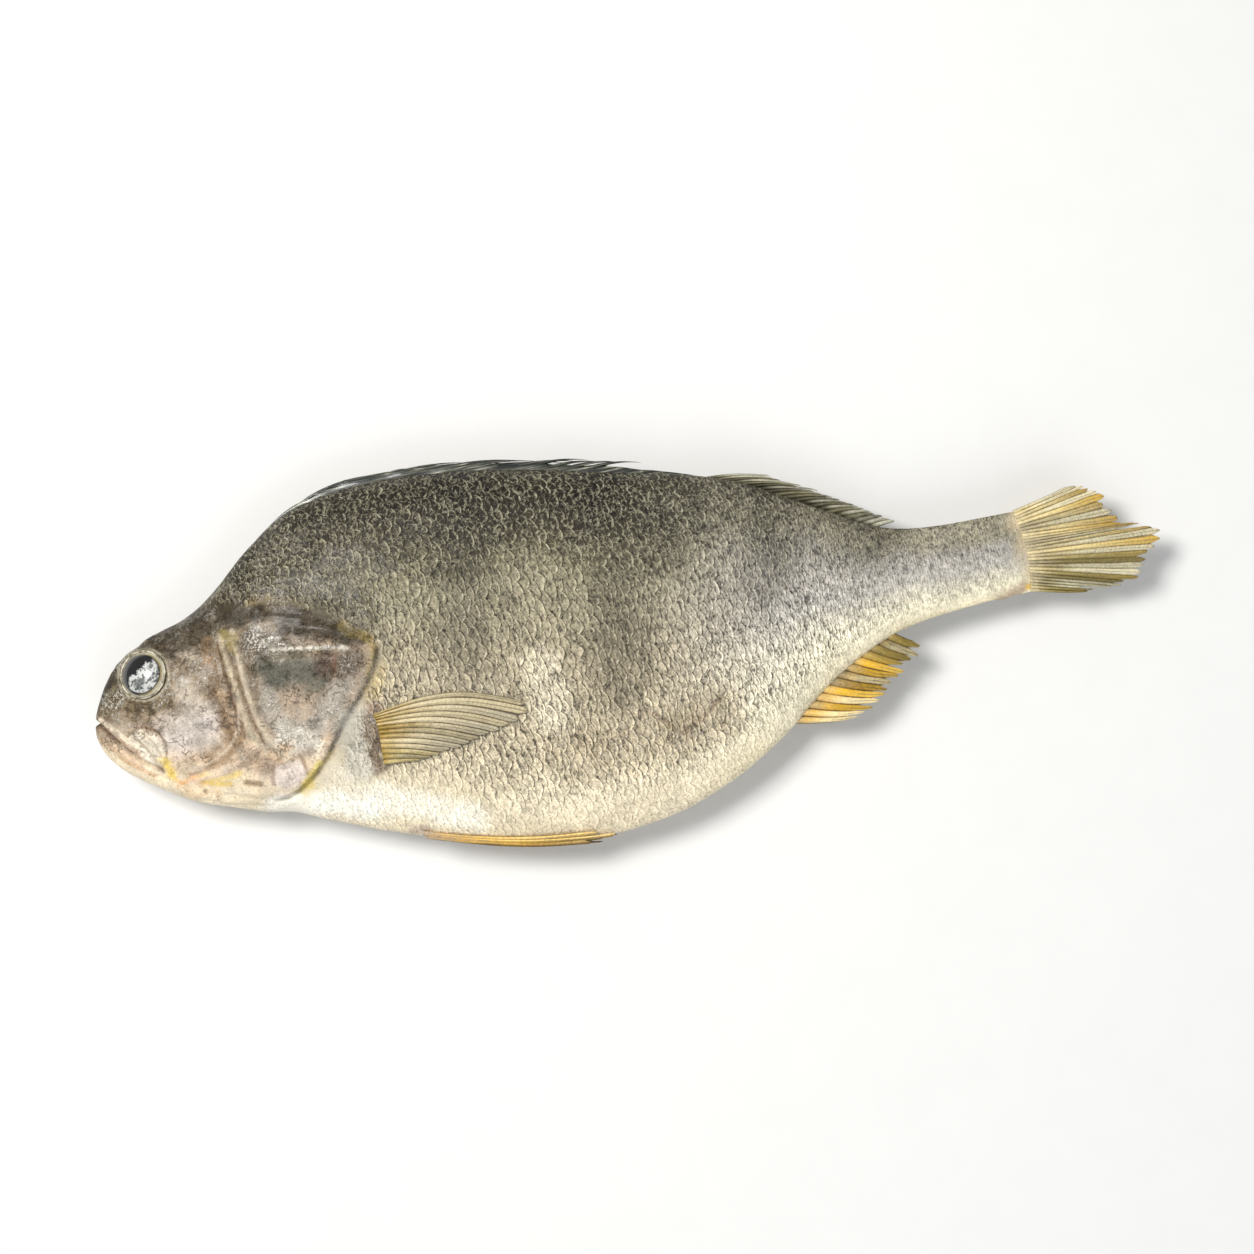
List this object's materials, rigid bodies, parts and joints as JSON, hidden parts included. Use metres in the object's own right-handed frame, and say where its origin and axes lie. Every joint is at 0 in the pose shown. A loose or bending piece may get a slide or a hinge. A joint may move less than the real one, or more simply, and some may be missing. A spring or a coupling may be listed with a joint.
{
  "type": "dried fish",
  "caption": "Whole dried perch lying flat on its right flank, with scaled deep body, bare head, folded back fins, pectoral, pelvic, anal and tail fins.",
  "frame": {"origin": "middle of the bounding box's bottom, on the surface that the fish lies on", "axes": "+X from the head to the tail, +Y from the belly to the back, +Z out of the left flank, up from the surface"},
  "size_m": [0.3374, 0.1298, 0.0342],
  "materials": {
    "skin": "dried scaled skin, dark grey-green back to cream belly, satin",
    "eye": "dark glossy eyeball with a pale golden ring",
    "dark_fin": "dried dark spines and membrane, satin",
    "pale_fin": "dried golden and cream rays, satin",
    "orange_fin": "dried golden orange rays, satin"
  },
  "bodies": {
    "root": {"body": "skin", "eye_left": "eye", "eye_right": "eye", "spiny_dorsal_fin": "dark_fin", "soft_dorsal_fin": "dark_fin", "caudal_fin": "pale_fin", "anal_fin": "orange_fin", "pectoral_fin_left": "pale_fin", "pectoral_fin_right": "pale_fin", "pelvic_fin_left": "orange_fin", "pelvic_fin_right": "orange_fin"}
  },
  "joints": []
}
